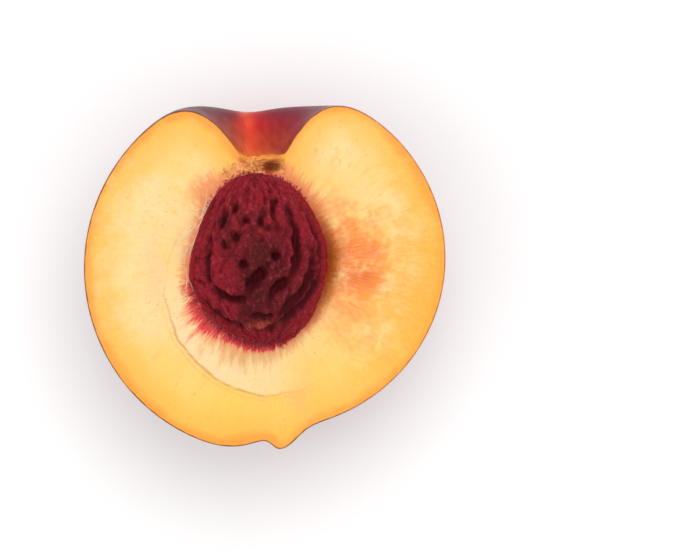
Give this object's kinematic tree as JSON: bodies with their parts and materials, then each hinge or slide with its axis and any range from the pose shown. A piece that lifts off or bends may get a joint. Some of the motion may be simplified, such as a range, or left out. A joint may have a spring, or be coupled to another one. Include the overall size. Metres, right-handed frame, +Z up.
{
  "type": "halved smooth-skinned peach",
  "caption": "Half of a smooth-skinned peach lying on its skin, cut face up, with the furrowed stone in its seat, stem dimple and pointed tip.",
  "frame": {"origin": "on the table, under the middle of the half's bounding box", "axes": "+Z up out of the cut face, +Y from the pointed tip to the stem dimple, +X across the cheeks"},
  "size_m": [0.0722, 0.0688, 0.0438],
  "materials": {
    "flesh_and_skin": "satin",
    "stone": "satin"
  },
  "bodies": {
    "root": {"peach_half": "flesh_and_skin", "stone": "stone"}
  },
  "joints": []
}
